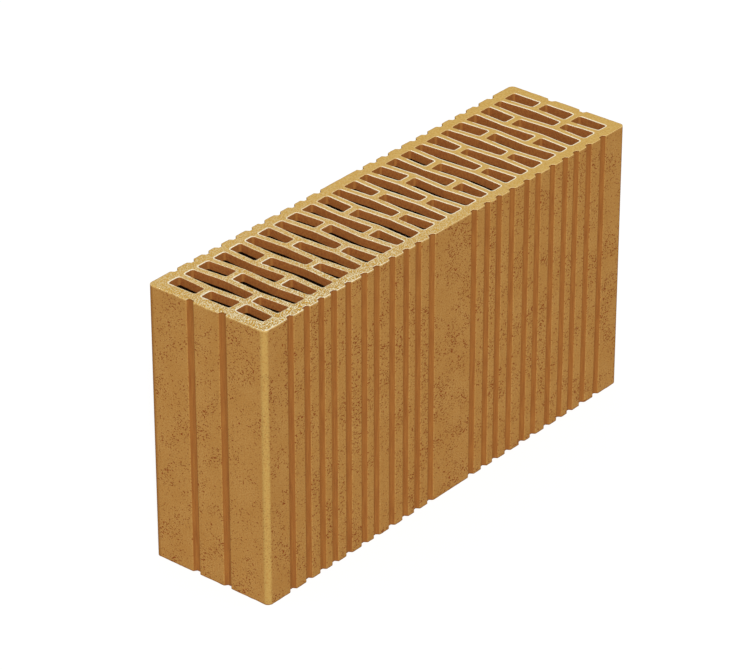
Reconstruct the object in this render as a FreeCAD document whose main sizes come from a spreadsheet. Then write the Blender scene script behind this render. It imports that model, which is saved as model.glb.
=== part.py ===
# Hollow clay block, extruded and wire-cut, fired as one piece.
# Origin: middle of the bottom bed face. X along the block, Y across it, Z up.

import FreeCAD, Part
import math
import os
import Sketcher

# Driving sizes in millimetres. Counts have no unit.
SIZES = {
    "block_length": 440.0,
    "block_width": 115.0,
    "block_height": 238.0,
    "corner_radius": 4.2,        # upright outer corners
    "end_shell": 10.5,           # wall at each end face
    "side_shell": 10.7,          # wall at each long face
    "web_thickness": 5.7,        # zigzag webs, from long face to long face
    "web_sway": 1.0,             # how far a web bends to each side of its line
    "cross_thickness": 5.85,     # cross walls, along the block
    "middle_band": 27.9,         # clear room between the two lines of cross walls
    "wide_extra": 1.2,           # added to a row between two webs that bend alike
    "end_extra": 0.8,            # added to the first and last row
    "slot_radius": 2.0,          # upright inner corners of the slots
    "groove_width": 7.4,         # at the face
    "groove_floor": 3.6,
    "groove_depth": 2.8,
    "end_groove_line": 15.8,     # from the middle of an end face to each of its grooves
    "web_groups": 4,             # groups of six webs along the block
}

# Bend of the six webs of a group. A web marked +1 bends towards +X at the back face.
GROUP_BENDS = (1, -1, -1, 1, 1, -1)
WEBS_IN_GROUP = len(GROUP_BENDS)
WIDE_ROWS_IN_GROUP = sum(a == b for a, b in zip(GROUP_BENDS, GROUP_BENDS[1:]))
PLAIN_WEBS_PER_HALF = 1          # the web nearest the middle has no groove at its feet
SAME_PLACE = 0.01                # corners closer than this are one, in millimetres

# Expressions that follow from the driving sizes.
HALF_LENGTH = "sizes.block_length / 2"
HALF_WIDTH = "sizes.block_width / 2"
INNER_FACE = f"({HALF_WIDTH} - sizes.side_shell)"
CROSS_LINE = "(sizes.middle_band / 2 + sizes.cross_thickness / 2)"
WEB_COUNT = f"{WEBS_IN_GROUP} * sizes.web_groups"
WEB_ROOM = f"{WEB_COUNT} * sizes.web_thickness"
EXTRA_ROOM = f"({WIDE_ROWS_IN_GROUP} * sizes.web_groups * sizes.wide_extra + 2 * sizes.end_extra)"
SLOT_ROOM = f"(sizes.block_length - 2 * sizes.end_shell - {WEB_ROOM} - {EXTRA_ROOM})"
ROW_WIDTH = f"({SLOT_ROOM} / ({WEB_COUNT} + 1))"
ROW_PITCH = f"({ROW_WIDTH} + sizes.web_thickness)"
GROUP_PITCH = f"({WEBS_IN_GROUP} * {ROW_PITCH} + {WIDE_ROWS_IN_GROUP} * sizes.wide_extra)"
END_ROW_WIDTH = f"({ROW_WIDTH} + sizes.end_extra)"
FIRST_WEB = f"(sizes.end_shell - {HALF_LENGTH} + {END_ROW_WIDTH} + sizes.web_thickness / 2)"


def make_sizes(doc):
    sheet = doc.addObject("Spreadsheet::Sheet", "sizes")
    for row, (name, value) in enumerate(SIZES.items(), start=1):
        sheet.set(f"A{row}", name)
        sheet.set(f"B{row}", str(value))
        sheet.setAlias(f"B{row}", name)
    doc.recompute()
    return sheet


def origin_feature(body, role):
    return next(part for part in body.Origin.OriginFeatures if part.Role == role)


def plan_sketch(body, name, outlines):
    """Closed outlines on the bottom bed face, each corner placed by two expressions."""
    sketch = body.newObject("Sketcher::SketchObject", name)
    sketch.AttachmentSupport = [(origin_feature(body, "XY_Plane"), "")]
    sketch.MapMode = "FlatFace"
    for corners in outlines:
        add_outline(sketch, corners)
    return sketch


def add_outline(sketch, corners):
    count = len(corners)
    first_line = sketch.GeometryCount
    draft = [draft_corner(number, count) for number in range(count)]
    lines = [Part.LineSegment(draft[k - 1], draft[k]) for k in range(count)]
    sketch.addGeometry(lines, False)

    constraints = []
    rules = []
    for number, (x_rule, y_rule) in enumerate(corners):
        line = first_line + number
        next_line = first_line + (number + 1) % count
        constraints += [
            Sketcher.Constraint("DistanceX", -1, 1, line, 2, draft[number].x),
            Sketcher.Constraint("DistanceY", -1, 1, line, 2, draft[number].y),
            Sketcher.Constraint("Coincident", line, 2, next_line, 1),
        ]
        rules += [x_rule, y_rule, None]
    places = sketch.addConstraint(constraints)
    for place, rule in zip(places, rules):
        if rule:
            sketch.setExpression(f"Constraints[{place}]", rule)


def draft_corner(number, count):
    """A corner's place on a small circle until its expressions move it."""
    turn = 2 * math.pi * number / count
    return FreeCAD.Vector(math.cos(turn), math.sin(turn), 0)


def rectangle(x_low, x_high, y_low, y_high):
    return [(x_low, y_low), (x_high, y_low), (x_high, y_high), (x_low, y_high)]


def add_upright(body, kind, name, sketch):
    """A pad or pocket over the full height, upwards from the bottom bed face."""
    feature = body.newObject(f"PartDesign::{kind}", name)
    feature.Profile = sketch
    feature.setExpression("Length", "sizes.block_height")
    feature.Reversed = kind == "Pocket"
    body.Tip = feature
    return feature


def repeat_groups(body, name, feature, count_rule):
    """Copies of a feature along the block, one for each group of webs."""
    pattern = body.newObject("PartDesign::LinearPattern", name)
    pattern.Originals = [feature]
    pattern.Direction = (origin_feature(body, "X_Axis"), [""])
    pattern.Mode = "Spacing"
    pattern.setExpression("Offset", GROUP_PITCH)
    pattern.setExpression("Occurrences", count_rule)
    body.Tip = pattern
    return pattern


def mirror(body, name, features, role):
    copy = body.newObject("PartDesign::Mirrored", name)
    copy.Originals = features
    copy.MirrorPlane = (origin_feature(body, role), [""])
    body.Tip = copy
    return copy


def mirror_both_ways(body, name, feature):
    """Four of a feature: in both halves of the block, front and back."""
    copies = body.newObject("PartDesign::MultiTransform", name)
    copies.Originals = [feature]
    copies.Transformations = [
        mirror(body, "to_other_half", [], "YZ_Plane"),
        mirror(body, "to_back", [], "XZ_Plane"),
    ]
    body.Tip = copies
    return copies


def web_centre(number):
    """Middle line of a web of the first group, counted from 0; 6 is the next group's first."""
    neighbours = zip(GROUP_BENDS, GROUP_BENDS[1:number + 1])
    wide_rows = sum(a == b for a, b in neighbours)
    return f"({FIRST_WEB} + {number} * {ROW_PITCH} + {wide_rows} * sizes.wide_extra)"


def web_outline(number):
    """A zigzag strip with its bends on the two cross-wall lines."""
    bend = GROUP_BENDS[number]
    levels = [f"-{INNER_FACE}", f"-{CROSS_LINE}", CROSS_LINE, INNER_FACE]
    turns = [-bend, bend, -bend, bend]
    middle = [f"{web_centre(number)} + {turn} * sizes.web_sway" for turn in turns]
    half = "sizes.web_thickness / 2"
    left = [(f"{x_rule} - {half}", level) for x_rule, level in zip(middle, levels)]
    right = [(f"{x_rule} + {half}", level) for x_rule, level in zip(middle, levels)]
    return left + right[::-1]


def cross_wall(x_low, x_high, side):
    """A straight wall from the middle of one web to the middle of the next."""
    line = f"{side} * {CROSS_LINE}"
    half = "sizes.cross_thickness / 2"
    return rectangle(x_low, x_high, f"{line} - {half}", f"{line} + {half}")


def make_outer_form(body):
    sketch = plan_sketch(body, "outline", [
        rectangle(f"-{HALF_LENGTH}", HALF_LENGTH, f"-{HALF_WIDTH}", HALF_WIDTH),
    ])
    return add_upright(body, "Pad", "outer_form", sketch)


def round_outer_corners(doc, body, base):
    doc.recompute()
    rounding = body.newObject("PartDesign::Fillet", "outer_corners")
    rounding.Base = (base, [name for name, _ in upright_edges(base.Shape)])
    rounding.setExpression("Radius", "sizes.corner_radius")
    body.Tip = rounding


def fill_inner_room(body):
    """The inner room as one core, before the webs and cross walls divide it."""
    end = f"({HALF_LENGTH} - sizes.end_shell)"
    sketch = plan_sketch(body, "inner_room", [
        rectangle(f"-{end}", end, f"-{INNER_FACE}", INNER_FACE),
    ])
    add_upright(body, "Pad", "room_core", sketch)


def part_cores_at_webs(body):
    sketch = plan_sketch(body, "web_lines", [web_outline(n) for n in range(WEBS_IN_GROUP)])
    webs = add_upright(body, "Pocket", "webs", sketch)
    repeat_groups(body, "all_webs", webs, "sizes.web_groups")


def part_cores_at_cross_walls(body):
    """Cross walls stand by turns on the front line and the back line."""
    sketch = plan_sketch(body, "cross_wall_lines", [
        cross_wall(web_centre(n), web_centre(n + 1), -1 if n % 2 == 0 else 1)
        for n in range(WEBS_IN_GROUP - 1)
    ])
    walls = add_upright(body, "Pocket", "cross_walls", sketch)
    repeat_groups(body, "all_cross_walls", walls, "sizes.web_groups")

    last = WEBS_IN_GROUP - 1
    next_group = f"({web_centre(0)} + {GROUP_PITCH})"
    sketch = plan_sketch(body, "linking_wall_line", [cross_wall(web_centre(last), next_group, 1)])
    links = add_upright(body, "Pocket", "linking_walls", sketch)
    repeat_groups(body, "all_linking_walls", links, "sizes.web_groups - 1")


def part_cores_in_end_rows(body):
    """The first and last row have both cross walls, so three short slots each."""
    shell_middle = f"(sizes.end_shell / 2 - {HALF_LENGTH})"
    sketch = plan_sketch(body, "end_wall_lines", [
        cross_wall(shell_middle, web_centre(0), side) for side in (-1, 1)
    ])
    walls = add_upright(body, "Pocket", "end_walls", sketch)
    mirror(body, "far_end_walls", [walls], "YZ_Plane")


def round_slot_corners(doc, body):
    doc.recompute()
    base = body.Tip
    wall_faces = [
        SIZES["block_width"] / 2 - SIZES["side_shell"],
        SIZES["middle_band"] / 2,
        SIZES["middle_band"] / 2 + SIZES["cross_thickness"],
    ]
    names = [
        name for name, place in upright_edges(base.Shape)
        if any(abs(abs(place.y) - face) < SAME_PLACE for face in wall_faces)
    ]
    rounding = body.newObject("PartDesign::Fillet", "slot_corners")
    rounding.Base = (base, names)
    rounding.setExpression("Radius", "sizes.slot_radius")
    body.Tip = rounding


def upright_edges(shape):
    """Name and foot of each straight edge that runs the full height."""
    found = []
    for number, edge in enumerate(shape.Edges, start=1):
        ends = sorted((vertex.Point for vertex in edge.Vertexes), key=lambda point: point.z)
        if len(ends) != 2:
            continue
        rise = ends[1] - ends[0]
        full_height = FreeCAD.Vector(0, 0, SIZES["block_height"])
        if rise.distanceToPoint(full_height) < SAME_PLACE:
            found.append((f"Edge{number}", ends[0]))
    return found


def notch_across(x_centre, face, inward):
    """Groove in a long face: a shallow trapezoid, widest at the face."""
    mouth = "sizes.groove_width / 2"
    floor = "sizes.groove_floor / 2"
    depth = f"{face} + {inward} * sizes.groove_depth"
    return [
        (f"{x_centre} - {mouth}", face),
        (f"{x_centre} - {floor}", depth),
        (f"{x_centre} + {floor}", depth),
        (f"{x_centre} + {mouth}", face),
    ]


def notch_at_end(y_centre):
    return [(face, y_rule) for y_rule, face in notch_across(y_centre, HALF_LENGTH, -1)]


def groove_centres():
    """Grooves of one half: an even pitch from the middle, bent as the webs' feet are."""
    half_webs = WEBS_IN_GROUP * SIZES["web_groups"] // 2
    centres = []
    for number in range(PLAIN_WEBS_PER_HALF, half_webs):
        bend = GROUP_BENDS[(half_webs + number) % WEBS_IN_GROUP]
        centres.append(f"({number + 0.5} * {ROW_PITCH} - {bend} * sizes.web_sway)")
    return centres


def cut_grooves(body):
    outlines = [notch_across(centre, f"-{HALF_WIDTH}", 1) for centre in groove_centres()]
    outlines.append(notch_at_end("-sizes.end_groove_line"))
    sketch = plan_sketch(body, "groove_lines", outlines)
    grooves = add_upright(body, "Pocket", "grooves", sketch)
    mirror_both_ways(body, "all_grooves", grooves)


def make_slot_cores(doc):
    """The die's cores, one for each slot, that keep the slots free of clay."""
    body = doc.addObject("PartDesign::Body", "slot_cores")
    body.AllowCompound = True
    fill_inner_room(body)
    part_cores_at_webs(body)
    part_cores_at_cross_walls(body)
    part_cores_in_end_rows(body)
    round_slot_corners(doc, body)
    return body


def make_block(doc):
    body = doc.addObject("PartDesign::Body", "clay_block")
    body.Label = "clay_block"
    outer_form = make_outer_form(body)
    round_outer_corners(doc, body, outer_form)
    cut_grooves(body)
    slots = body.newObject("PartDesign::Boolean", "slots")
    slots.Type = "Cut"
    slots.setObjects([make_slot_cores(doc)])
    body.Tip = slots
    body.Placement = FreeCAD.Placement()
    return body


def check(doc, bodies):
    for thing in doc.Objects:
        if "Invalid" in thing.State or "Error" in thing.State:
            raise RuntimeError(f"{thing.Name} failed: {thing.State}")
    for body in bodies:
        if body.Shape.isNull() or not body.Shape.isValid():
            raise RuntimeError(f"{body.Label} has no valid shape")
        if len(body.Shape.Solids) != 1:
            raise RuntimeError(f"{body.Label} is not one solid")


def main():
    doc = FreeCAD.newDocument("hollow_block")
    make_sizes(doc)
    bodies = [make_block(doc)]
    doc.recompute()
    check(doc, bodies)
    os.makedirs("parts", exist_ok=True)
    for body in bodies:
        body.Shape.exportStep(f"parts/{body.Label}.step")
        box = body.Shape.BoundBox
        print(body.Label, "volume", round(body.Shape.Volume), "mm3, box",
              round(box.XLength, 3), round(box.YLength, 3), round(box.ZLength, 3))


main()
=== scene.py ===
import bmesh
import bpy
import math
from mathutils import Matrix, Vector, noise


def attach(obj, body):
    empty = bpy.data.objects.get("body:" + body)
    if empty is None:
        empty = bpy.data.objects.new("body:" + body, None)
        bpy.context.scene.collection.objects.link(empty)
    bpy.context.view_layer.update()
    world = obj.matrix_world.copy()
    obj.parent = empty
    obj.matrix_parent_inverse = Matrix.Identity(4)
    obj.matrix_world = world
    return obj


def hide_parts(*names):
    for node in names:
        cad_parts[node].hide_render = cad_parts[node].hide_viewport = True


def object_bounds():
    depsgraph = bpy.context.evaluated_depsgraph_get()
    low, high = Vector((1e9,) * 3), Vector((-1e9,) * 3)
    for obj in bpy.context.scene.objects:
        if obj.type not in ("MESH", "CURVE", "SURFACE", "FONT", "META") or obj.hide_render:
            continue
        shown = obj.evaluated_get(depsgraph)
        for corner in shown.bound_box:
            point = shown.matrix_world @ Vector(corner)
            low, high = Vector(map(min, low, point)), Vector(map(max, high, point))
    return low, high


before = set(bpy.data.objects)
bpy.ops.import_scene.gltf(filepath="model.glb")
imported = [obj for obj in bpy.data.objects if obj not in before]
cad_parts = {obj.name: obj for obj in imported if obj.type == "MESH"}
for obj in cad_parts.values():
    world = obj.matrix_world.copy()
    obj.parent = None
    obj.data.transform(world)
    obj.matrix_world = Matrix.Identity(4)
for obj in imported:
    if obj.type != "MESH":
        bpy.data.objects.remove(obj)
cadLow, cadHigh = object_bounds()
print("frame: loaded", len(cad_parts), "node")


# Shape of the fired block, in metres and degrees
blockShape = {
    "node": "clay_block",
    "slot": "fired_clay",
    "mergeGap": 0.00001,
    "flatTurn": 1.0,         # faces that turn less than this are one face
    "arrisTurn": 35.0,       # edges that turn more than this are arrises
    "arrisSteps": 3,
    "uprightRise": 0.0042,   # edges that rise more than this stand upright
    "grooveArris": 0.0006,   # rounded by the die
    "bedArris": 0.0005,      # left by the cutting wire and worn by handling
    "slotArris": 0.0003,     # the same at the mouth of a slot, where nothing wears it
    "slotLip": 0.00085,      # flat lip round the mouth of each slot
    "lipHighlightBend": 0.0080,       # how far the painted highlight of a back end's lip runs on along one side
    "cellSize": 0.0030,      # spacing of the cuts that let the bed faces be uneven
    "cutGap": 0.0000001,
    "wornReach": 1.1,        # the beds are worn this many arris widths deep
    "wireDip": 0.00025,      # depth of the dips between high spots of a bed face
    "wireDipSize": 0.0090,
    "arrisWander": 0.00014,  # how far a worn arris leaves its line
    "arrisWanderSize": 0.0035,
    "wanderSeed": 1,         # fixed, because the wander would otherwise differ from run to run
    "cornerRadius": 0.0042,
    "slotsFrom": 0.0060,     # faces further in than this belong to the slots
    "groovesFrom": 0.00045,  # faces further in than this belong to the grooves
    "bedSlope": 0.99,        # a face is flat on the bed if its normal is this upright
    "bedArrisSlope": 0.50,   # and still takes the look of the bed if it is this upright
    "frontSlope": 0.20,      # a face is on the front arris if its normal points forwards by this
}
clayZones = ["bed", "slotWall", "groove", "side"]


def isUpright(edge):
    return abs(edge.verts[0].co.z - edge.verts[1].co.z) > blockShape["uprightRise"]


def inwardOf(place):
    # How far in it is from the nearest outer face, and from the nearest one that crosses that
    fromEnd = cadHigh.x - abs(place.x)
    fromSide = cadHigh.y - abs(place.y)
    return min(fromEnd, fromSide), max(fromEnd, fromSide)


def isInSlot(part):
    place = sum((vert.co for vert in part.verts), Vector()) / len(part.verts)
    return inwardOf(place)[0] > blockShape["slotsFrom"]


def isOnFront(face):
    inFront = face.calc_center_median().y < cadLow.y + blockShape["slotsFrom"]
    return inFront and face.normal.y < -blockShape["frontSlope"]


def isFlatOnBed(face):
    return abs(face.normal.z) > blockShape["bedSlope"]


def roundArrises(bm, width, upright=False, inSlots=False):
    sharp = math.radians(blockShape["arrisTurn"])
    edges = [
        edge for edge in bm.edges
        if edge.is_convex and edge.calc_face_angle(0) > sharp
        and isUpright(edge) == upright and isInSlot(edge) == inSlots
    ]
    bmesh.ops.bevel(
        bm, geom=edges, offset=width, offset_type="OFFSET", affect="EDGES", profile=0.5,
        segments=blockShape["arrisSteps"], material=-1, loop_slide=False,
    )


def zoneOf(face):
    inward, crossing = inwardOf(face.calc_center_median())
    if abs(face.normal.z) > blockShape["bedArrisSlope"]:
        return "bed"
    if inward > blockShape["slotsFrom"]:
        return "slotWall"
    onCorner = crossing < blockShape["cornerRadius"]
    return "groove" if inward > blockShape["groovesFrom"] and not onCorner else "side"


def markZones(bm):
    bm.normal_update()
    for face in bm.faces:
        face.material_index = clayZones.index(zoneOf(face))


def markLips(bm):
    # Stored on each slot's rim, to place a painted highlight: 1 at its back end, which faces the key
    # light, 2 along its sides, 3 at its front end.
    # The front arris of a bed faces the light like a back end, and takes the same painted highlight
    lipHighlightPlace = bm.faces.layers.float.new("lipHighlightPlace")
    outside = []
    for face in bm.faces:
        onRim = face.material_index == clayZones.index("bed") and not isFlatOnBed(face)
        if onRim and (isInSlot(face) or isOnFront(face)):
            face[lipHighlightPlace] = 2 + face.normal.xy.normalized().y
        if isFlatOnBed(face) or not isInSlot(face):
            outside.append(face)
    # Everything outside the slots is one region, so its only borders are their mouths
    ring = bmesh.ops.inset_region(
        bm, faces=outside, thickness=blockShape["slotLip"], use_boundary=True, use_even_offset=True,
    )
    bm.normal_update()
    # Each piece of the flat lip takes the value of the rim beside it
    for face in ring["faces"]:
        beside = {other for edge in face.edges for other in edge.link_faces}
        face[lipHighlightPlace] = max(other[lipHighlightPlace] for other in beside if not isFlatOnBed(other))


def lipRings(bm, lipHighlightPlace):
    # The faces round one mouth of one slot at a time
    waiting = {face for face in bm.faces if face[lipHighlightPlace] > 0 and isInSlot(face)}
    while waiting:
        found = [waiting.pop()]
        for face in found:
            beside = {other for edge in face.edges for other in edge.link_faces} & waiting
            waiting -= beside
            found.extend(beside)
        yield found


def bendLipHighlights(bm):
    # The painted highlight of a back end's lip runs on a little along the left side of the slot, as seen
    # from the front
    lipHighlightPlace = bm.faces.layers.float["lipHighlightPlace"]
    for ring in lipRings(bm, lipHighlightPlace):
        places = [face.calc_center_median() for face in ring]
        backEnd = max(place.y for place in places)
        middle = (min(place.x for place in places) + max(place.x for place in places)) / 2
        for face, place in zip(ring, places):
            if place.y > backEnd - blockShape["lipHighlightBend"] and place.x < middle:
                face[lipHighlightPlace] = 1


def cutAcross(bm, faces, axis, places):
    # The middle cut first, then each half by itself, so that each cut has few faces to go through
    if not faces or not places:
        return
    half = len(places) // 2
    planePlace = Vector()
    planePlace[axis] = places[half]
    planeNormal = Vector()
    planeNormal[axis] = 1
    edges = {edge for face in faces for edge in face.edges}
    verts = {vert for edge in edges for vert in edge.verts}
    cut = bmesh.ops.bisect_plane(
        bm, geom=[*verts, *edges, *faces], dist=blockShape["cutGap"],
        plane_co=planePlace, plane_no=planeNormal,
    )
    pieces = [piece for piece in cut["geom"] if isinstance(piece, bmesh.types.BMFace)]
    below = [face for face in pieces if face.calc_center_median()[axis] < places[half]]
    above = [face for face in pieces if face.calc_center_median()[axis] >= places[half]]
    cutAcross(bm, below, axis, places[:half])
    cutAcross(bm, above, axis, places[half + 1:])


def cutIntoCells(bm):
    for axis in (1, 0):
        room = cadHigh[axis] - cadLow[axis]
        count = round(room / blockShape["cellSize"])
        places = [cadLow[axis] + number * room / count for number in range(1, count)]
        cutAcross(bm, bm.faces[:], axis, places)


def wearBeds(bm):
    # Dips go inwards, and what wanders outwards is brought back to the block's outer size
    noise.seed_set(blockShape["wanderSeed"])
    reach = blockShape["bedArris"] * blockShape["wornReach"]
    for vert in bm.verts:
        if min(vert.co.z - cadLow.z, cadHigh.z - vert.co.z) > reach:
            continue
        inward = -1 if vert.co.z > cadHigh.z / 2 else 1
        dip = 0.5 + 0.5 * noise.noise(vert.co / blockShape["wireDipSize"])
        vert.co += noise.noise_vector(vert.co / blockShape["arrisWanderSize"]) * blockShape["arrisWander"]
        vert.co.z += inward * dip * blockShape["wireDip"]
        for axis in range(3):
            vert.co[axis] = min(max(vert.co[axis], cadLow[axis]), cadHigh[axis])


def makeBlock():
    bm = bmesh.new()
    bm.from_mesh(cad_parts[blockShape["node"]].data)
    bmesh.ops.remove_doubles(bm, verts=bm.verts, dist=blockShape["mergeGap"])
    flat = math.radians(blockShape["flatTurn"])
    bmesh.ops.dissolve_limit(bm, angle_limit=flat, verts=bm.verts, edges=bm.edges)
    roundArrises(bm, blockShape["grooveArris"], upright=True)
    roundArrises(bm, blockShape["bedArris"])
    roundArrises(bm, blockShape["slotArris"], inSlots=True)
    print("block: arrises rounded")
    markZones(bm)
    markLips(bm)
    cutIntoCells(bm)
    bendLipHighlights(bm)
    print("block: lips marked and faces cut into cells")
    wearBeds(bm)
    for face in bm.faces:
        face.smooth = True
    print("block: beds worn,", len(bm.faces), "faces")
    mesh = bpy.data.meshes.new("firedBlock")
    bm.to_mesh(mesh)
    bm.free()
    # In the order of clayZones
    for material in (wireCutClay(), coreDrawnClay(), combedClay(), smoothedClay()):
        mesh.materials.append(material)
    piece = bpy.data.objects.new("firedBlock", mesh)
    bpy.context.scene.collection.objects.link(piece)
    piece.modifiers.new("flat faces stay flat", "WEIGHTED_NORMAL")
    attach(piece, "root")
    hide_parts(blockShape["node"])


# Materials. Their patterns are in millimetres of the block's own coordinates
perMetre = 1000


def linearColour(hexColour):
    parts = [int(hexColour[place:place + 2], 16) / 255 for place in (1, 3, 5)]
    return [part / 12.92 if part <= 0.04045 else ((part + 0.055) / 1.055) ** 2.4 for part in parts] + [1.0]


# An input goes by its name or number, and a node given as its value stands for its first output.
# Map Range takes its value at 0, its range at 1 and 2, and what that range becomes at 3 and 4.
# Mix takes its share at 0, and two numbers at 2 and 3 or two colours at 6 and 7
def addNode(tree, kind, inputs=None, **settings):
    node = tree.nodes.new("ShaderNode" + kind)
    for name, value in settings.items():
        setattr(node, name, value)
    for socket, value in (inputs or {}).items():
        if isinstance(value, bpy.types.Node):
            value = value.outputs[0]
        if isinstance(value, bpy.types.NodeSocket):
            tree.links.new(value, node.inputs[socket])
        else:
            node.inputs[socket].default_value = value
    return node


clayLook = {
    "shine": 0.05,             # porous, so it hardly reflects
    "sandAlong": (-220, 150),  # where along the bed the sand is thickest, and where it has thinned out
    "sandAcross": (-57, 57),
}


def startClay(name, roughness):
    material = bpy.data.materials.new(name)
    material.use_nodes = True
    tree = material.node_tree
    shader = tree.nodes["Principled BSDF"]
    shader.inputs["Roughness"].default_value = roughness
    shader.inputs["Specular IOR Level"].default_value = clayLook["shine"]
    place = addNode(tree, "TexCoord").outputs["Object"]
    millimetres = addNode(tree, "Mapping", {"Vector": place, "Scale": (perMetre, perMetre, perMetre)})
    return material, tree, shader, millimetres


def sandShare(tree, millimetres, look):
    # Sand clings most to the end of the bed that the wire left last, least at the far end
    place = addNode(tree, "SeparateXYZ", {0: millimetres})
    near, far = clayLook["sandAlong"]
    along = addNode(
        tree, "MapRange", {0: place.outputs[0], 1: near, 2: far, 3: 1.0, 4: look["sandAtFarEnd"]},
        interpolation_type="SMOOTHSTEP",
    )
    front, back = clayLook["sandAcross"]
    across = addNode(tree, "MapRange", {
        0: place.outputs[1], 1: front, 2: back, 3: 1.0, 4: look["sandAtBack"],
    })
    return addNode(tree, "Math", {0: along, 1: across}, operation="MULTIPLY")


def depthFromTop(tree, millimetres):
    up = addNode(tree, "SeparateXYZ", {0: millimetres}).outputs[2]
    return addNode(tree, "Math", {0: perMetre * cadHigh.z, 1: up}, operation="SUBTRACT")


def depthFromBed(tree, millimetres):
    up = addNode(tree, "SeparateXYZ", {0: millimetres}).outputs[2]
    down = depthFromTop(tree, millimetres)
    return addNode(tree, "Math", {0: up, 1: down}, operation="MINIMUM")


# In all the looks, a Range holds the two noise values between which the pattern comes in
bedLook = {
    "roughness": 0.92,
    "plainDark": "#C89E52",
    "plainLight": "#D5B267",
    "mottleSize": 1.8,
    "mottleRange": (0.35, 0.65),
    "torn": "#C4932E",          # raw body between the grains
    "grain": "#F4E8C0",
    "grainSize": 0.8,           # real sand of 0.3 to 0.5 mm would be too fine to show
    "grainRange": (0.44, 0.58),
    "grainStretch": 1.8,        # the wire drags the grains out along its way
    "wireTurn": 23.6,           # degrees between that way and the block's length
    "grainHeight": 0.0003,
    "sandAtFarEnd": 0.05,
    "sandAtBack": 0.35,
    # Painted highlight on the lips round the slots' mouths and on the front arris of the beds
    "lipHighlight": "#FBF1D3",
    "lipHighlightNearEnd": (1.0, 0.25),  # how much of it shows at a slot's back end and along its sides
    "lipHighlightFarEnd": (0.1, 0.92),   # and the same further on along the block
    "lipHighlightSwap": (-140, 10),      # where along the block the one turns into the other
    "lipHighlightSides": (1.2, 2.0),     # stored places between which a back end turns into a side
    "lipHighlightRange": (0.38, 0.52),
    "lipHighlightGaps": (0.82, 1.0),     # how much of the lip is left between the grains, and on them
    "shadedRim": "#B1853F",     # painted shade on the arrises of the back and the far end, which face away from the light
    "rimWidth": 0.9,
    "rimFade": 0.3,
}


def shadedRimShare(tree, millimetres):
    # Where the painted shade goes: the arrises of the far end and of the back
    place = addNode(tree, "SeparateXYZ", {0: millimetres})
    fade = bedLook["rimFade"]
    far = perMetre * cadHigh.x - bedLook["rimWidth"]
    back = perMetre * cadHigh.y - bedLook["rimWidth"]
    onFar = addNode(tree, "MapRange", {0: place.outputs[0], 1: far, 2: far + fade})
    onBack = addNode(tree, "MapRange", {0: place.outputs[1], 1: back, 2: back + fade})
    return addNode(tree, "Math", {0: onFar, 1: onBack}, operation="MAXIMUM")


def lipHighlightShare(tree, millimetres):
    # A pale painted highlight on the lip round each slot: at the near end behind each slot, further on
    # along its sides
    lipHighlight = addNode(tree, "Attribute", attribute_name="lipHighlightPlace").outputs["Fac"]
    onEnd, onSides = bedLook["lipHighlightSides"]
    endShare, sideShare = bedLook["lipHighlightNearEnd"]
    atNearEnd = addNode(tree, "MapRange", {0: lipHighlight, 1: onEnd, 2: onSides, 3: endShare, 4: sideShare})
    endShare, sideShare = bedLook["lipHighlightFarEnd"]
    atFarEnd = addNode(tree, "MapRange", {0: lipHighlight, 1: onEnd, 2: onSides, 3: endShare, 4: sideShare})
    along = addNode(tree, "SeparateXYZ", {0: millimetres})
    swapFrom, swapTo = bedLook["lipHighlightSwap"]
    further = addNode(
        tree, "MapRange", {0: along, 1: swapFrom, 2: swapTo}, interpolation_type="SMOOTHSTEP",
    )
    share = addNode(tree, "Mix", {0: further, 2: atNearEnd, 3: atFarEnd}, data_type="FLOAT")
    # The stored place is 0 off the lip and 1 or more on it
    onLipHighlight = addNode(tree, "Math", {0: lipHighlight, 1: 0.5}, operation="GREATER_THAN")
    return addNode(tree, "Math", {0: share, 1: onLipHighlight}, operation="MULTIPLY")


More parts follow.
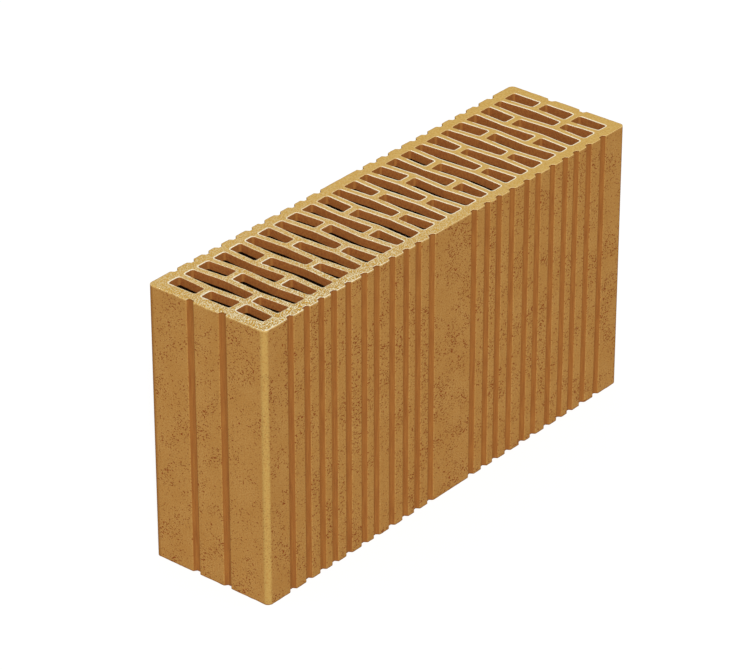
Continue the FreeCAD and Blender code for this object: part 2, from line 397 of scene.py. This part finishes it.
def wireCutClay():
    # Fired clay cut by a wire: the torn face shows pale sand grains that stand proud
    material, tree, shader, millimetres = startClay("wireCutSandyClay", bedLook["roughness"])
    mottle = addNode(tree, "TexNoise", {
        "Vector": millimetres, "Scale": 1 / bedLook["mottleSize"], "Detail": 2.0,
    })
    low, high = bedLook["mottleRange"]
    mottleShare = addNode(tree, "MapRange", {0: mottle, 1: low, 2: high})
    plain = addNode(tree, "Mix", {
        0: mottleShare, 6: linearColour(bedLook["plainDark"]), 7: linearColour(bedLook["plainLight"]),
    }, data_type="RGBA")
    sand = sandShare(tree, millimetres, bedLook)
    torn = addNode(tree, "Mix", {
        0: sand, 6: plain.outputs[2], 7: linearColour(bedLook["torn"]),
    }, data_type="RGBA")

    wireWay = addNode(tree, "Mapping", {
        "Vector": millimetres, "Rotation": (0, 0, math.radians(bedLook["wireTurn"])),
        "Scale": (bedLook["grainStretch"], 1, 1),
    }, vector_type="TEXTURE")
    grain = addNode(tree, "TexNoise", {
        "Vector": wireWay, "Scale": 1 / bedLook["grainSize"], "Detail": 1.0, "Roughness": 0.4,
    })
    low, high = bedLook["grainRange"]
    grainShare = addNode(tree, "MapRange", {0: grain, 1: low, 2: high})
    sandy = addNode(tree, "Math", {0: grainShare, 1: sand}, operation="MULTIPLY")
    grained = addNode(tree, "Mix", {
        0: sandy, 6: torn.outputs[2], 7: linearColour(bedLook["grain"]),
    }, data_type="RGBA")

    low, high = bedLook["lipHighlightRange"]
    least, most = bedLook["lipHighlightGaps"]
    broken = addNode(tree, "MapRange", {0: grain, 1: low, 2: high, 3: least, 4: most})
    onLipHighlight = addNode(tree, "Math", {0: lipHighlightShare(tree, millimetres), 1: broken}, operation="MULTIPLY")
    # Painted highlight on the lips
    lipHighlighted = addNode(tree, "Mix", {
        0: onLipHighlight, 6: grained.outputs[2], 7: linearColour(bedLook["lipHighlight"]),
    }, data_type="RGBA")
    # Painted shade along the back and far arrises of the bed
    colour = addNode(tree, "Mix", {
        0: shadedRimShare(tree, millimetres), 6: lipHighlighted.outputs[2], 7: linearColour(bedLook["shadedRim"]),
    }, data_type="RGBA")
    tree.links.new(colour.outputs[2], shader.inputs["Base Color"])
    height = addNode(tree, "Math", {0: sandy, 1: mottle}, operation="ADD")
    bump = addNode(tree, "Bump", {"Height": height, "Distance": bedLook["grainHeight"]})
    tree.links.new(bump.outputs[0], shader.inputs["Normal"])
    return material


slotLook = {
    "roughness": 0.85,
    "dark": "#95562A",
    "light": "#A96B34",
    "mottleSize": 1.8,
    "mottleRange": (0.3, 0.7),
    "roundedHighlight": "#A56E36",      # painted highlight on the rounded corners
    "offSide": (0.2, 0.5),     # they begin where the wall has turned this far endwise
    "offEnd": (0.8, 1.0),      # and end where it has turned this far
    "roundedOnEnd": 0.45,      # how much of their look the flat ends show
    # Painted shade deep in the slots, where the light does not reach
    "deepShade": "#120703",
    "shadeFrom": 6.85,          # millimetres below a bed face
    "shadeAt": 7.05,
    "deeperAtFarEnd": 1.2,
    "deeperAlong": (60, 220),  # where along the block it comes to lie that much deeper
}


def roundedHighlightShare(tree):
    # Where the painted highlight goes, told from the way the wall faces: 0 on a slot's sides, 1 on its
    # rounded corners
    facing = addNode(tree, "SeparateXYZ", {0: addNode(tree, "TexCoord").outputs["Normal"]})
    endwise = addNode(tree, "Math", {0: facing.outputs[1]}, operation="ABSOLUTE")
    low, high = slotLook["offSide"]
    offSide = addNode(tree, "MapRange", {0: endwise, 1: low, 2: high})
    low, high = slotLook["offEnd"]
    offEnd = addNode(tree, "MapRange", {0: endwise, 1: low, 2: high, 3: 1.0, 4: slotLook["roundedOnEnd"]})
    return addNode(tree, "Math", {0: offSide, 1: offEnd}, operation="MULTIPLY")


def deepShadeShare(tree, millimetres):
    along = addNode(tree, "SeparateXYZ", {0: millimetres})
    near, far = slotLook["deeperAlong"]
    deeper = addNode(tree, "MapRange", {0: along, 1: near, 2: far, 4: slotLook["deeperAtFarEnd"]})
    depth = addNode(tree, "Math", {
        0: depthFromBed(tree, millimetres), 1: deeper,
    }, operation="SUBTRACT")
    return addNode(tree, "MapRange", {0: depth, 1: slotLook["shadeFrom"], 2: slotLook["shadeAt"]})


def coreDrawnClay():
    # Drawn along the die's cores: smooth and reddish, with painted shade nearly black further in
    material, tree, shader, millimetres = startClay("coreDrawnClay", slotLook["roughness"])
    mottle = addNode(tree, "TexNoise", {
        "Vector": millimetres, "Scale": 1 / slotLook["mottleSize"], "Detail": 2.0,
    })
    low, high = slotLook["mottleRange"]
    mottleShare = addNode(tree, "MapRange", {0: mottle, 1: low, 2: high})
    wall = addNode(tree, "Mix", {
        0: mottleShare, 6: linearColour(slotLook["dark"]), 7: linearColour(slotLook["light"]),
    }, data_type="RGBA")
    # Painted highlight on the slots' rounded corners, and less on their ends
    cornerHighlighted = addNode(tree, "Mix", {
        0: roundedHighlightShare(tree), 6: wall.outputs[2], 7: linearColour(slotLook["roundedHighlight"]),
    }, data_type="RGBA")
    # Painted shade deep in the slots
    colour = addNode(tree, "Mix", {
        0: deepShadeShare(tree, millimetres), 6: cornerHighlighted.outputs[2], 7: linearColour(slotLook["deepShade"]),
    }, data_type="RGBA")
    tree.links.new(colour.outputs[2], shader.inputs["Base Color"])
    return material


grooveLook = {
    "roughness": 0.85,
    "dark": "#8B5628",
    "light": "#9B6630",
    "streakSize": 1.4,
    "streakLength": 20.0,
    "streakRange": (0.3, 0.7),
    "streakHeight": 0.0001,
    "endShade": "#7A4A1F",   # next to the bed faces
    "endReach": (0.6, 1.6),  # millimetres from a bed face over which it fades out
}


def combedClay():
    # Combed by the die's teeth: a dense skin without sand, redder than the faces
    material, tree, shader, millimetres = startClay("dieCombedClay", grooveLook["roughness"])
    drawn = grooveLook["streakSize"] / grooveLook["streakLength"]
    along = addNode(tree, "Mapping", {"Vector": millimetres, "Scale": (1, 1, drawn)})
    streak = addNode(tree, "TexNoise", {
        "Vector": along, "Scale": 1 / grooveLook["streakSize"], "Detail": 2.0,
    })
    low, high = grooveLook["streakRange"]
    streakShare = addNode(tree, "MapRange", {0: streak, 1: low, 2: high})
    floor = addNode(tree, "Mix", {
        0: streakShare, 6: linearColour(grooveLook["dark"]), 7: linearColour(grooveLook["light"]),
    }, data_type="RGBA")
    near, far = grooveLook["endReach"]
    nearBed = addNode(tree, "MapRange", {
        0: depthFromBed(tree, millimetres), 1: near, 2: far, 3: 1.0, 4: 0.0,
    })
    colour = addNode(tree, "Mix", {
        0: nearBed, 6: floor.outputs[2], 7: linearColour(grooveLook["endShade"]),
    }, data_type="RGBA")
    tree.links.new(colour.outputs[2], shader.inputs["Base Color"])
    bump = addNode(tree, "Bump", {"Height": streak, "Distance": grooveLook["streakHeight"]})
    tree.links.new(bump.outputs[0], shader.inputs["Normal"])
    return material


sideLook = {
    "roughness": 0.90,
    "cloudDark": "#A97C41",
    "cloudLight": "#AF8449",
    "cloudSize": 22.0,
    "cloudRange": (0.35, 0.65),
    "mottle": "#A17137",
    "mottleSize": 1.25,
    "mottleRange": (0.36, 0.66),
    "mottleSquash": 1.35,           # the marks lie flat, across the way the clay was pressed
    "speck": "#82411A",
    "speckSize": 1.5,               # real grog is under 1 mm, drawn coarser so that it shows
    "speckFade": 0.05,
    "crowdSize": 16.0,
    "crowdRange": (0.38, 0.62),
    "speckLimit": (0.69, 0.58),     # noise above which it is grog, where that is sparse and in a cluster
    "moreOnFront": 0.012,           # the grog shows more in the front face than in the ends
    "frontFade": (-56, -50),        # where across the block that ends
    "skinHeight": 0.00015,
    "cornerHighlighted": "#B4904F",            # painted highlight on the near left corner, which faces the light
    "cornerShaded": "#8E5E2A",             # painted shade on the other corners
    "cornerAlong": (215.4, 217.6),  # from the middle, where a corner's look comes in
    "cornerAcross": (51.6, 54.2),
    "patchRange": (0.44, 0.64),
    "patches": (1.0, 0.45),         # how much of a corner's look there is between the mottles, and on them
    "dragged": "#D0AE6C",           # sand that the wire drags down over the arris
    "dragWidth": 1.6,
    "dragStretch": 5,               # each streak is longer than wide by this
    "dragRange": (0.3, 0.7),
    "dragReach": (0.3, 1.6),        # how far down the shortest and the longest streaks come
    "dragFade": (-0.8, 0.6),        # from past a streak's end to well inside it
    "sandAtFarEnd": 0.4,
    "sandAtBack": 0.8,
    "foot": "#7E4E20",              # painted shade along the lower arris
    "footFade": (0.4, 1.6),         # how far up it shows in full and at all
    "footShare": 0.9,
}


def grogShare(tree, millimetres, squashed):
    crowd = addNode(tree, "TexNoise", {
        "Vector": millimetres, "Scale": 1 / sideLook["crowdSize"], "Detail": 3.0,
    })
    low, high = sideLook["crowdRange"]
    sparse, clustered = sideLook["speckLimit"]
    limit = addNode(tree, "MapRange", {0: crowd, 1: low, 2: high, 3: sparse, 4: clustered})
    across = addNode(tree, "SeparateXYZ", {0: millimetres}).outputs[1]
    low, high = sideLook["frontFade"]
    more = addNode(tree, "MapRange", {0: across, 1: low, 2: high, 3: sideLook["moreOnFront"], 4: 0.0})
    threshold = addNode(tree, "Math", {0: limit, 1: more}, operation="SUBTRACT")
    grog = addNode(tree, "TexNoise", {
        "Vector": squashed, "Scale": 1 / sideLook["speckSize"], "Detail": 1.0, "Distortion": 0.6,
    })
    above = addNode(tree, "Math", {0: grog, 1: threshold}, operation="SUBTRACT")
    return addNode(tree, "MapRange", {0: above, 1: 0.0, 2: sideLook["speckFade"]})


def paintedCornerShare(tree, millimetres, mottle):
    place = addNode(tree, "SeparateXYZ", {0: millimetres})
    onBoth = []
    for axis, reach in enumerate((sideLook["cornerAlong"], sideLook["cornerAcross"])):
        out = addNode(tree, "Math", {0: place.outputs[axis]}, operation="ABSOLUTE")
        onBoth.append(addNode(
            tree, "MapRange", {0: out, 1: reach[0], 2: reach[1]}, interpolation_type="SMOOTHSTEP",
        ))
    corner = addNode(tree, "Math", {0: onBoth[0], 1: onBoth[1]}, operation="MULTIPLY")
    low, high = sideLook["patchRange"]
    between, onMottle = sideLook["patches"]
    patchy = addNode(tree, "MapRange", {0: mottle, 1: low, 2: high, 3: between, 4: onMottle})
    return addNode(tree, "Math", {0: corner, 1: patchy}, operation="MULTIPLY")


def cornerHighlightAndShade(tree, millimetres):
    place = addNode(tree, "SeparateXYZ", {0: millimetres})
    left = addNode(tree, "Math", {0: place.outputs[0], 1: 0.0}, operation="LESS_THAN")
    front = addNode(tree, "Math", {0: place.outputs[1], 1: 0.0}, operation="LESS_THAN")
    frontLeft = addNode(tree, "Math", {0: left, 1: front}, operation="MULTIPLY")
    return addNode(tree, "Mix", {
        0: frontLeft, 6: linearColour(sideLook["cornerShaded"]), 7: linearColour(sideLook["cornerHighlighted"]),
    }, data_type="RGBA")


def dragShare(tree, millimetres):
    # Upright streaks that hang down from the upper arris, longest where the bed is sandiest
    fine = 1 / sideLook["dragWidth"]
    streakPlace = addNode(tree, "Mapping", {
        "Vector": millimetres, "Scale": (fine, fine, fine / sideLook["dragStretch"]),
    })
    streak = addNode(tree, "TexNoise", {"Vector": streakPlace, "Scale": 1.0, "Detail": 1.0})
    low, high = sideLook["dragRange"]
    shortest, longest = sideLook["dragReach"]
    reach = addNode(tree, "MapRange", {0: streak, 1: low, 2: high, 3: shortest, 4: longest})
    sand = sandShare(tree, millimetres, sideLook)
    sandyReach = addNode(tree, "Math", {0: reach, 1: sand}, operation="MULTIPLY")
    over = addNode(tree, "Math", {0: sandyReach, 1: depthFromTop(tree, millimetres)}, operation="SUBTRACT")
    low, high = sideLook["dragFade"]
    return addNode(tree, "MapRange", {0: over, 1: low, 2: high})


def footShare(tree, millimetres):
    up = addNode(tree, "SeparateXYZ", {0: millimetres}).outputs[2]
    low, high = sideLook["footFade"]
    return addNode(tree, "MapRange", {0: up, 1: low, 2: high, 3: sideLook["footShare"], 4: 0.0})


def smoothedClay():
    # Smoothed by the die: a sandy skin with dark grog that breaks through in clusters
    material, tree, shader, millimetres = startClay("dieSmoothedClay", sideLook["roughness"])
    cloud = addNode(tree, "TexNoise", {"Vector": millimetres, "Scale": 1 / sideLook["cloudSize"]})
    low, high = sideLook["cloudRange"]
    cloudShare = addNode(tree, "MapRange", {0: cloud, 1: low, 2: high})
    body = addNode(tree, "Mix", {
        0: cloudShare, 6: linearColour(sideLook["cloudDark"]), 7: linearColour(sideLook["cloudLight"]),
    }, data_type="RGBA")
    squashed = addNode(tree, "Mapping", {"Vector": millimetres, "Scale": (1, 1, sideLook["mottleSquash"])})
    mottle = addNode(tree, "TexNoise", {
        "Vector": squashed, "Scale": 1 / sideLook["mottleSize"], "Detail": 1.0,
    })
    low, high = sideLook["mottleRange"]
    mottleShare = addNode(tree, "MapRange", {0: mottle, 1: low, 2: high})
    mottled = addNode(tree, "Mix", {
        0: mottleShare, 6: body.outputs[2], 7: linearColour(sideLook["mottle"]),
    }, data_type="RGBA")

    speckShare = grogShare(tree, millimetres, squashed)
    specked = addNode(tree, "Mix", {
        0: speckShare, 6: mottled.outputs[2], 7: linearColour(sideLook["speck"]),
    }, data_type="RGBA")
    # Painted highlight on the near corner and painted shade on the other three
    onCorner = paintedCornerShare(tree, millimetres, mottle)
    cornerLitAndShaded = addNode(tree, "Mix", {
        0: onCorner, 6: specked.outputs[2], 7: cornerHighlightAndShade(tree, millimetres).outputs[2],
    }, data_type="RGBA")
    sandy = addNode(tree, "Mix", {
        0: dragShare(tree, millimetres), 6: cornerLitAndShaded.outputs[2], 7: linearColour(sideLook["dragged"]),
    }, data_type="RGBA")
    # Painted shade along the lower arris
    colour = addNode(tree, "Mix", {
        0: footShare(tree, millimetres), 6: sandy.outputs[2], 7: linearColour(sideLook["foot"]),
    }, data_type="RGBA")
    tree.links.new(colour.outputs[2], shader.inputs["Base Color"])
    height = addNode(tree, "Math", {0: mottle, 1: speckShare}, operation="SUBTRACT")
    bump = addNode(tree, "Bump", {"Height": height, "Distance": sideLook["skinHeight"]})
    tree.links.new(bump.outputs[0], shader.inputs["Normal"])
    return material


# Studio
studio = {
    "floorSize": 8.0,
    "floorColour": "#E6E6E4",
    "floorGlow": 1.12,       # strength of the white that the camera sees
    "floorGlowShare": 0.75,  # the rest of the floor's look is lit, and keeps the shadow
    "roomStrength": 0.48,
    "whiteStrength": 1.0,    # of the room where the camera sees it
    "keyStrength": 2.55,
    "keyAngle": 5.0,
    "keyFrom": (-1.05, -0.97, 1.1),
    "cameraPlace": (-2.0614, -1.6809, 1.6116),
    "cameraAim": (-0.0911, -0.0547, 0.1785),
    "lens": 186.25,
    "sensorWidth": 36.0,
    "viewDistance": 50.0,
}
white = (1, 1, 1, 1)


def seenRay(tree):
    # 1 on what the camera sees, straight, mirrored or through glass, and 0 on what lights the block
    ray = addNode(tree, "LightPath").outputs
    seen = addNode(tree, "Math", {0: ray["Is Camera Ray"], 1: ray["Is Glossy Ray"]}, operation="MAXIMUM")
    return addNode(tree, "Math", {0: seen, 1: ray["Is Transmission Ray"]}, operation="MAXIMUM")


def makeFloor():
    bm = bmesh.new()
    bmesh.ops.create_grid(bm, x_segments=1, y_segments=1, size=studio["floorSize"] / 2)
    mesh = bpy.data.meshes.new("floor")
    bm.to_mesh(mesh)
    bm.free()
    floor = bpy.data.objects.new("floor", mesh)
    bpy.context.scene.collection.objects.link(floor)
    # Matt painted board: white all over, with only the block's soft shadow on it
    material = bpy.data.materials.new("paleStudioFloor")
    material.use_nodes = True
    tree = material.node_tree
    tree.nodes.clear()
    lit = addNode(tree, "BsdfDiffuse", {"Color": linearColour(studio["floorColour"])})
    glow = addNode(tree, "Emission", {"Strength": studio["floorGlow"]})
    share = addNode(tree, "Math", {0: seenRay(tree), 1: studio["floorGlowShare"]}, operation="MULTIPLY")
    mix = addNode(tree, "MixShader", {0: share, 1: lit, 2: glow})
    addNode(tree, "OutputMaterial", {"Surface": mix})
    mesh.materials.append(material)


def makeRoomLight():
    world = bpy.data.worlds.new("studioRoom")
    world.use_nodes = True
    tree = world.node_tree
    tree.nodes.clear()
    room = addNode(tree, "Background", {"Color": white, "Strength": studio["roomStrength"]})
    seen = addNode(tree, "Background", {"Color": white, "Strength": studio["whiteStrength"]})
    mix = addNode(tree, "MixShader", {0: seenRay(tree), 1: room, 2: seen})
    addNode(tree, "OutputWorld", {"Surface": mix})
    bpy.context.scene.world = world


def makeKeyLight():
    light = bpy.data.lights.new("key", "SUN")
    light.energy = studio["keyStrength"]
    light.angle = math.radians(studio["keyAngle"])
    lamp = bpy.data.objects.new("key", light)
    lamp.location = Vector(studio["keyFrom"])
    lamp.rotation_mode = "QUATERNION"
    lamp.rotation_quaternion = Vector(studio["keyFrom"]).to_track_quat("Z", "Y")
    bpy.context.scene.collection.objects.link(lamp)


def makeCamera():
    camera = bpy.data.objects.new("camera", bpy.data.cameras.new("camera"))
    camera.data.lens = studio["lens"]
    camera.data.sensor_width = studio["sensorWidth"]
    camera.data.clip_end = studio["viewDistance"]
    camera.location = Vector(studio["cameraPlace"])
    towards = Vector(studio["cameraAim"]) - camera.location
    camera.rotation_mode = "QUATERNION"
    camera.rotation_quaternion = towards.to_track_quat("-Z", "Y")
    bpy.context.scene.collection.objects.link(camera)
    bpy.context.scene.camera = camera


makeBlock()
print("block: made")
makeFloor()
makeRoomLight()
makeKeyLight()
makeCamera()
bpy.context.scene.view_settings.view_transform = "Standard"
print("studio: made")
